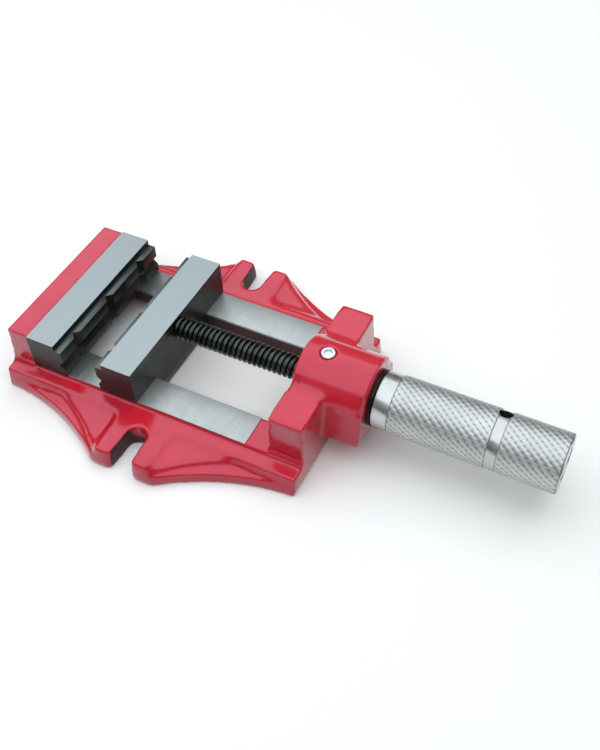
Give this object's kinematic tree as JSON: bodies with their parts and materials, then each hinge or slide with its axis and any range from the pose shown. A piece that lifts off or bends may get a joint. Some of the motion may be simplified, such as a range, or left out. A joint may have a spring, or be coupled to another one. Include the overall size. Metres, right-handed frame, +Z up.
{
  "type": "drill press vise",
  "caption": "Low cast vise with slotted wings, ground rails, a fixed and a sliding stepped jaw, and a hollow knurled handle that drives a threaded spindle.",
  "frame": {"origin": "on the table plane, under the middle of the whole length and width", "axes": "+Z up from the table, +Y towards the fixed jaw, -Y towards the handle, X across the bed"},
  "size_m": [0.174, 0.3192, 0.0548],
  "materials": {
    "red_enamel": "glossy red enamel over cast iron, rails ground bare",
    "black_steel": "black oxide on hardened steel, top faces ground bare",
    "dark_steel": "oiled dark steel",
    "bright_steel": "turned and knurled bright steel",
    "bronze": "plain bearing bronze",
    "black_ring": "blackened steel"
  },
  "bodies": {
    "base": {"base_casting": "red_enamel", "fixed_jaw_plate": "black_steel", "fixed_jaw_screws": "dark_steel", "fixed_jaw_washers": "dark_steel", "fixed_jaw_dowels": "bright_steel", "boss_bush_rear": "bronze", "boss_bush_front": "bronze", "retaining_screw": "bright_steel", "thrust_washer": "black_ring"},
    "jaw": {"movable_jaw": "black_steel", "spindle": "dark_steel", "spindle_pin": "bright_steel", "spindle_stop_ring": "dark_steel", "keeper_plate": "dark_steel", "keeper_screws": "dark_steel"},
    "handle": {"drive_nut": "bronze", "handle_grip": "bright_steel", "handle_set_screw": "dark_steel", "handle_end_plug": "bright_steel"}
  },
  "joints": [
    {"name": "handle_turn", "type": "hinge", "parent": "base", "child": "handle", "pos_m": [0, -0.1115, 0.032], "axis": [0, 1, 0], "range_deg": [-7762.5, 2576.25]},
    {"name": "jaw_slide", "type": "slide", "parent": "base", "child": "jaw", "axis": [0, 1, 0], "range_m": [-0.069, 0.0229]}
  ],
  "couplings": [
    {"joint": "jaw_slide", "follows": "handle_turn", "m_per_rad": 0.0005093}
  ]
}
